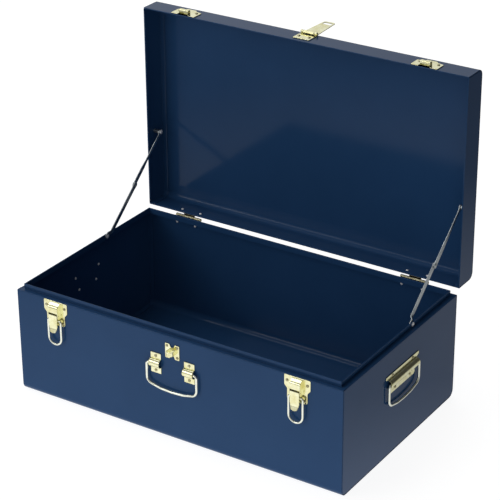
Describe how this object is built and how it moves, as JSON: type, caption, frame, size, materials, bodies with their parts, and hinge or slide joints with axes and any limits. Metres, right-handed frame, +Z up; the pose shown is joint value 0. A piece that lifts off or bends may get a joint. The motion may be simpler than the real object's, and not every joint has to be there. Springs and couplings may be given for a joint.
{
  "type": "steel tool trunk",
  "caption": "Navy sheet-steel tool trunk standing open, with brass draw latches, a hasp, wire handles and folding lid stays.",
  "frame": {"origin": "centre of the underside of the base box", "axes": "+X along the length, to the right as seen from the front; -Y out of the front with the latches; +Z up"},
  "size_m": [0.6162, 0.4708, 0.5568],
  "materials": {
    "base_paint": "gloss",
    "lid_paint": "gloss",
    "brass": "bright",
    "steel": "satin"
  },
  "bodies": {
    "base": {"base_wrap": "base_paint", "end_panel_right": "base_paint", "end_panel_left": "base_paint", "hinge_base_leaf_right": "brass", "hinge_base_leaf_left": "brass", "hinge_pin_right": "brass", "hinge_pin_left": "brass", "stay_base_rivet_right": "steel", "stay_base_rivet_left": "steel", "latch_plate_right": "brass", "latch_plate_left": "brass", "latch_pin_right": "brass", "latch_pin_left": "brass", "staple": "brass", "handle_bracket_right": "brass", "handle_bracket_left": "brass", "end_plate_right": "brass", "end_plate_left": "brass"},
    "lid": {"lid_wrap": "lid_paint", "lid_end_right": "lid_paint", "lid_end_left": "lid_paint", "hinge_lid_leaf_right": "brass", "hinge_lid_leaf_left": "brass", "stay_lid_stud_right": "steel", "stay_lid_stud_left": "steel", "strike_right": "brass", "strike_left": "brass", "hasp_bracket": "brass", "hasp_pin": "brass"},
    "hasp": {"hasp_strap": "brass"},
    "front_handle": {"front_bail": "brass"},
    "stay_lower_arm_right": {"stay_lower_right": "steel"},
    "stay_upper_arm_right": {"stay_upper_right": "steel"},
    "lever_right": {"latch_lever_right": "brass"},
    "loop_right": {"latch_bail_right": "brass"},
    "end_handle_right": {"end_bail_right": "brass"},
    "stay_lower_arm_left": {"stay_lower_left": "steel"},
    "stay_upper_arm_left": {"stay_upper_left": "steel"},
    "lever_left": {"latch_lever_left": "brass"},
    "loop_left": {"latch_bail_left": "brass"},
    "end_handle_left": {"end_bail_left": "brass"}
  },
  "joints": [
    {"name": "lid_hinge", "type": "hinge", "parent": "base", "child": "lid", "pos_m": [0, 0.1848, 0.185], "axis": [1, 0, 0], "range_deg": [0, 90]},
    {"name": "stay_lower_right_turn", "type": "hinge", "parent": "base", "child": "stay_lower_arm_right", "pos_m": [0.28895, 0.0455, 0.188], "axis": [1, 0, 0], "range_deg": [-55.3, 0]},
    {"name": "stay_upper_right_turn", "type": "hinge", "parent": "lid", "child": "stay_upper_arm_right", "pos_m": [0.28895, 0.203, 0.322], "axis": [1, 0, 0], "range_deg": [0, 26.5]},
    {"name": "latch_right_lever", "type": "hinge", "parent": "base", "child": "lever_right", "pos_m": [0.223, -0.1835, 0.16], "axis": [-1, 0, 0], "range_deg": [0, 100]},
    {"name": "latch_right_loop", "type": "hinge", "parent": "lever_right", "child": "loop_right", "pos_m": [0.223, -0.1835, 0.152], "axis": [1, 0, 0], "range_deg": [-180, 0]},
    {"name": "end_handle_right_swing", "type": "hinge", "parent": "base", "child": "end_handle_right", "pos_m": [0.3046, 0, 0.128], "axis": [0, -1, 0], "range_deg": [0, 115]},
    {"name": "stay_lower_left_turn", "type": "hinge", "parent": "base", "child": "stay_lower_arm_left", "pos_m": [-0.28895, 0.0455, 0.188], "axis": [1, 0, 0], "range_deg": [-55.3, 0]},
    {"name": "stay_upper_left_turn", "type": "hinge", "parent": "lid", "child": "stay_upper_arm_left", "pos_m": [-0.28895, 0.203, 0.322], "axis": [1, 0, 0], "range_deg": [0, 26.5]},
    {"name": "latch_left_lever", "type": "hinge", "parent": "base", "child": "lever_left", "pos_m": [-0.223, -0.1835, 0.16], "axis": [-1, 0, 0], "range_deg": [0, 100]},
    {"name": "latch_left_loop", "type": "hinge", "parent": "lever_left", "child": "loop_left", "pos_m": [-0.223, -0.1835, 0.152], "axis": [1, 0, 0], "range_deg": [-180, 0]},
    {"name": "end_handle_left_swing", "type": "hinge", "parent": "base", "child": "end_handle_left", "pos_m": [-0.3046, 0, 0.128], "axis": [0, 1, 0], "range_deg": [0, 115]},
    {"name": "hasp_swing", "type": "hinge", "parent": "lid", "child": "hasp", "pos_m": [0, 0.2158, 0.5516], "axis": [1, 0, 0], "range_deg": [0, 180]},
    {"name": "front_handle_swing", "type": "hinge", "parent": "base", "child": "front_handle", "pos_m": [0, -0.1826, 0.131], "axis": [-1, 0, 0], "range_deg": [0, 115]}
  ],
  "couplings": [
    {"joint": "stay_lower_right_turn", "follows": "lid_hinge", "ratio": -0.61369},
    {"joint": "stay_upper_right_turn", "follows": "lid_hinge", "ratio": 0.29314},
    {"joint": "stay_lower_left_turn", "follows": "lid_hinge", "ratio": -0.61369},
    {"joint": "stay_upper_left_turn", "follows": "lid_hinge", "ratio": 0.29314}
  ]
}
